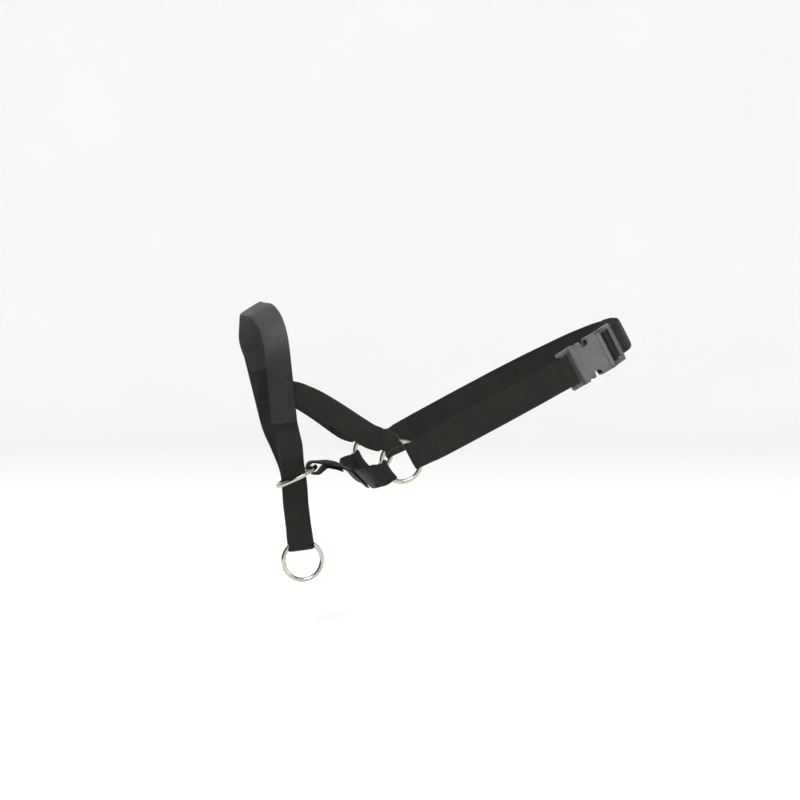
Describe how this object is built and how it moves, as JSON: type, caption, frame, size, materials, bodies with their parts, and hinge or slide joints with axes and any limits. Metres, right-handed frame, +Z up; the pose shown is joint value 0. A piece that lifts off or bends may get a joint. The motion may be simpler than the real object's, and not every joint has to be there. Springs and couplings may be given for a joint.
{
  "type": "dog head halter",
  "caption": "Webbing head halter for a dog: nose loop, cheek straps to side rings, neck strap with a side-release buckle, sliding jaw ring and a lead ring.",
  "frame": {"origin": "centre of the neck opening, on the dog's plane of symmetry", "axes": "+X from the nose towards the nape, +Y to the dog's right, +Z up"},
  "size_m": [0.2552, 0.1367, 0.1889],
  "materials": {
    "webbing": "ribbed nylon webbing, near black",
    "lining": "soft brushed lining, near black",
    "thread": "bonded nylon thread, near black",
    "nickel": "polished nickel-plated welded steel wire",
    "buckle_plastic": "moulded black acetal with a fine spark texture"
  },
  "bodies": {
    "halter": {"nose_band": "webbing", "nose_band_lining": "lining", "cheek_strap_left": "webbing", "cheek_strap_right": "webbing", "control_strap_left": "webbing", "control_strap_right": "webbing", "throat_strap": "webbing", "connector_tab": "webbing", "neck_strap_left": "webbing", "neck_strap_right": "webbing", "nape_webbing": "webbing", "buckle_socket": "buckle_plastic", "stitching_neck_left_ring": "thread", "stitching_neck_right_ring": "thread", "stitching_neck_left_buckle": "thread", "stitching_nose_band_left": "thread", "stitching_nose_band_right": "thread", "stitching_connector_tab": "thread"},
    "chin_connector": {"chin_connector": "webbing"},
    "jaw_ring": {"jaw_ring": "nickel"},
    "lead_strap": {"lead_strap": "webbing"},
    "lead_ring": {"lead_ring": "nickel"},
    "side_ring_left": {"side_ring_left": "nickel"},
    "side_ring_right": {"side_ring_right": "nickel"},
    "buckle_plug": {"buckle_plug": "buckle_plastic", "adjuster_webbing": "webbing", "strap_tail": "webbing"},
    "prong_upper": {"buckle_prong_upper": "buckle_plastic"},
    "prong_lower": {"buckle_prong_lower": "buckle_plastic"}
  },
  "joints": [
    {"name": "connector_swing", "type": "hinge", "parent": "halter", "child": "chin_connector", "pos_m": [-0.0849, 0, -0.03845], "axis": [0, 1, 0], "range_deg": [-20, 8]},
    {"name": "jaw_ring_tilt", "type": "hinge", "parent": "chin_connector", "child": "jaw_ring", "pos_m": [-0.10709, 0, -0.03699], "axis": [0, 1, 0], "range_deg": [-8, 20]},
    {"name": "lead_strap_swing", "type": "hinge", "parent": "halter", "child": "lead_strap", "pos_m": [-0.1189, 0, -0.0622], "axis": [0.9928, 0, 0.1201], "range_deg": [-60, 60]},
    {"name": "lead_ring_swing", "type": "hinge", "parent": "lead_strap", "child": "lead_ring", "pos_m": [-0.11578, 0, -0.08801], "axis": [0.9928, 0, 0.1201], "range_deg": [-80, 80]},
    {"name": "side_ring_left_spin", "type": "hinge", "parent": "halter", "child": "side_ring_left", "pos_m": [-0.0572, -0.062, -0.03], "axis": [0, 1, 0], "continuous": true},
    {"name": "side_ring_right_spin", "type": "hinge", "parent": "halter", "child": "side_ring_right", "pos_m": [-0.0572, 0.062, -0.03], "axis": [0, 1, 0], "continuous": true},
    {"name": "buckle_release", "type": "slide", "parent": "halter", "child": "buckle_plug", "axis": [0.8413, 0.309, 0.4436], "range_m": [0, 0.022], "deforming": ["nape_webbing", "buckle_prong_upper", "buckle_prong_lower"]},
    {"name": "prong_upper_squeeze", "type": "hinge", "parent": "buckle_plug", "child": "prong_upper", "pos_m": [0.07362, -0.05151, 0.04865], "axis": [0.2734, -0.9511, 0.1441], "range_deg": [0, 13], "stiffness_Nm_per_rad": 0.3},
    {"name": "prong_lower_squeeze", "type": "hinge", "parent": "buckle_plug", "child": "prong_lower", "pos_m": [0.08174, -0.05151, 0.03326], "axis": [-0.2734, 0.9511, -0.1441], "range_deg": [0, 13], "stiffness_Nm_per_rad": 0.3}
  ],
  "couplings": [
    {"joint": "jaw_ring_tilt", "follows": "connector_swing", "ratio": -1}
  ]
}
